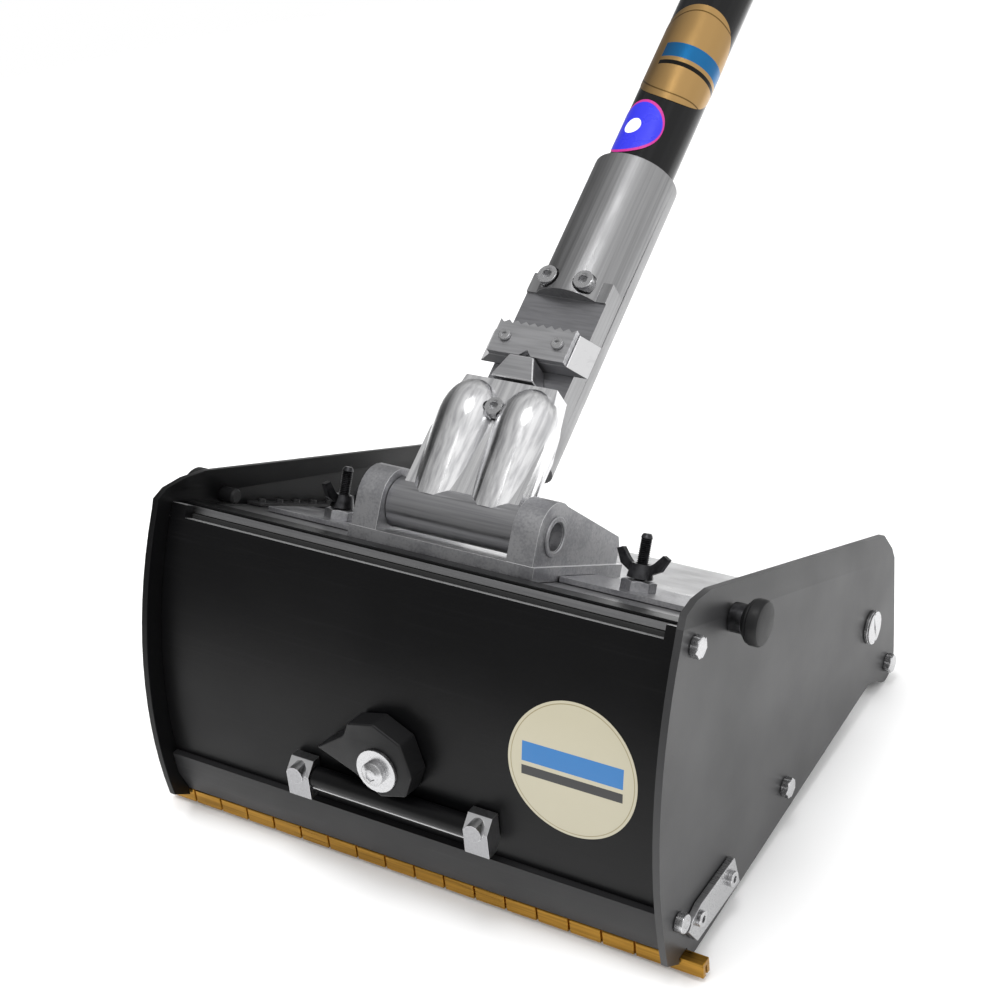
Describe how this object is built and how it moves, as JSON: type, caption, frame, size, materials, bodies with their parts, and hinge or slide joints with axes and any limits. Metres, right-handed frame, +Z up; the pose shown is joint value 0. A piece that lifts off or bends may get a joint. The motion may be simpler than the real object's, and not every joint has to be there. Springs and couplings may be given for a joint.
{
  "type": "drywall flat finishing box",
  "caption": "Drywall flat finishing box: sheet-metal box with a curved front, wiper blade, crown dial and hinged pressure lid, on a pivoting handle with a brake lever.",
  "frame": {"origin": "centre of the bounding box, at the level of the blade's edge and the wheels", "axes": "+X across the blade to the tool's right seen from its curved front, +Y from the blade towards the wheels and the grip, +Z up"},
  "size_m": [0.2822, 0.8226, 0.6156],
  "materials": {
    "black_anodised": "satin black anodised sheet",
    "grey_anodised": "dull grey anodised",
    "cast_aluminium": "blasted casting with machined faces",
    "brass": "machined, unpolished",
    "steel": "bright zinc and machined steel",
    "rubber": "matt black rubber",
    "black_plastic": "moulded, satin",
    "black_tube": "semi-gloss black coated tube"
  },
  "bodies": {
    "box": {"left_side_plate": "black_anodised", "right_side_plate": "black_anodised", "front_plate": "black_anodised", "bottom_plate": "grey_anodised", "blade_holder_bar": "grey_anodised", "brass_blade_carrier": "brass", "steel_blade": "steel", "dial_screw": "steel", "left_bar_clip": "steel", "right_bar_clip": "steel", "rear_axle": "steel", "tie_rod": "steel", "left_hinge_screw": "steel", "right_hinge_screw": "steel", "left_front_bolt": "steel", "right_front_bolt": "steel", "left_holder_screw": "steel", "right_holder_screw": "steel", "left_skid_plate": "steel", "right_skid_plate": "steel", "left_latch_bush": "steel", "right_latch_bush": "steel"},
    "left_wheel_body": {"left_wheel": "black_plastic"},
    "right_wheel_body": {"right_wheel": "black_plastic"},
    "dial": {"crown_dial": "black_plastic"},
    "crown_bar": {"spring_bar": "black_anodised"},
    "left_latch": {"left_latch_knob": "black_plastic"},
    "right_latch": {"right_latch_knob": "black_plastic"},
    "lid": {"pressure_lid": "cast_aluminium", "lid_seal": "rubber", "left_seal_strip": "grey_anodised", "right_seal_strip": "grey_anodised", "handle_bracket": "cast_aluminium", "pivot_pin": "steel", "left_clamp_bar": "grey_anodised", "right_clamp_bar": "grey_anodised", "left_stud": "steel", "right_stud": "steel"},
    "left_nut": {"left_wing_nut": "steel"},
    "right_nut": {"right_wing_nut": "steel"},
    "handle": {"pivot_arm": "cast_aluminium", "arm_screw": "steel", "wedge_block": "cast_aluminium", "plate_cradle": "cast_aluminium", "toothed_plate": "cast_aluminium", "left_plate_screw": "steel", "right_plate_screw": "steel", "head_casting": "cast_aluminium", "left_sleeve_screw": "steel", "right_sleeve_screw": "steel", "handle_tube": "black_tube", "rubber_grip": "rubber", "lever_bracket": "cast_aluminium", "lever_pin": "steel"},
    "lever": {"brake_lever": "cast_aluminium"},
    "brake": {"brake_rod": "steel"}
  },
  "joints": [
    {"name": "lid_hinge", "type": "hinge", "parent": "box", "child": "lid", "pos_m": [0, -0.19657, 0.0444], "axis": [1, 0, 0], "range_deg": [0, 33]},
    {"name": "handle_pivot", "type": "hinge", "parent": "lid", "child": "handle", "pos_m": [0, -0.32757, 0.14624], "axis": [-1, 0, 0], "range_deg": [-80, 20]},
    {"name": "brake_lever_pivot", "type": "hinge", "parent": "handle", "child": "lever", "pos_m": [0, 0.22999, 0.45909], "axis": [1, 0, 0], "range_deg": [0, 10], "stiffness_Nm_per_rad": 4, "springref_deg": -5.73},
    {"name": "brake_rod_slide", "type": "slide", "parent": "handle", "child": "brake", "axis": [0, -0.8387, -0.5446], "range_m": [0, 0.00418]},
    {"name": "dial_turn", "type": "hinge", "parent": "box", "child": "dial", "pos_m": [0, -0.39552, 0.06847], "axis": [0, 0.9928, -0.1201], "range_deg": [0, 50]},
    {"name": "crown_bar_press", "type": "slide", "parent": "box", "child": "crown_bar", "axis": [0, -0.0175, -0.9998], "range_m": [0, 0.00235]},
    {"name": "left_latch_slide", "type": "slide", "parent": "box", "child": "left_latch", "axis": [-1, 0, 0], "range_m": [0, 0.008], "stiffness_N_per_m": 400, "springref_m": -0.004},
    {"name": "right_latch_slide", "type": "slide", "parent": "box", "child": "right_latch", "axis": [1, 0, 0], "range_m": [0, 0.008], "stiffness_N_per_m": 400, "springref_m": -0.004},
    {"name": "left_wheel_spin", "type": "hinge", "parent": "box", "child": "left_wheel_body", "pos_m": [0, -0.17577, 0.0115], "axis": [1, 0, 0], "continuous": true},
    {"name": "right_wheel_spin", "type": "hinge", "parent": "box", "child": "right_wheel_body", "pos_m": [0, -0.17577, 0.0115], "axis": [1, 0, 0], "continuous": true},
    {"name": "left_nut_turn", "type": "hinge", "parent": "lid", "child": "left_nut", "pos_m": [-0.075, -0.32204, 0.11301], "axis": [0, 0.4798, 0.8774], "continuous": true},
    {"name": "right_nut_turn", "type": "hinge", "parent": "lid", "child": "right_nut", "pos_m": [0.075, -0.32204, 0.11301], "axis": [0, 0.4798, 0.8774], "continuous": true}
  ],
  "couplings": [
    {"joint": "dial_turn", "follows": "crown_bar_press", "rad_per_m": 370.37},
    {"joint": "brake_lever_pivot", "follows": "brake_rod_slide", "rad_per_m": 41.667}
  ]
}
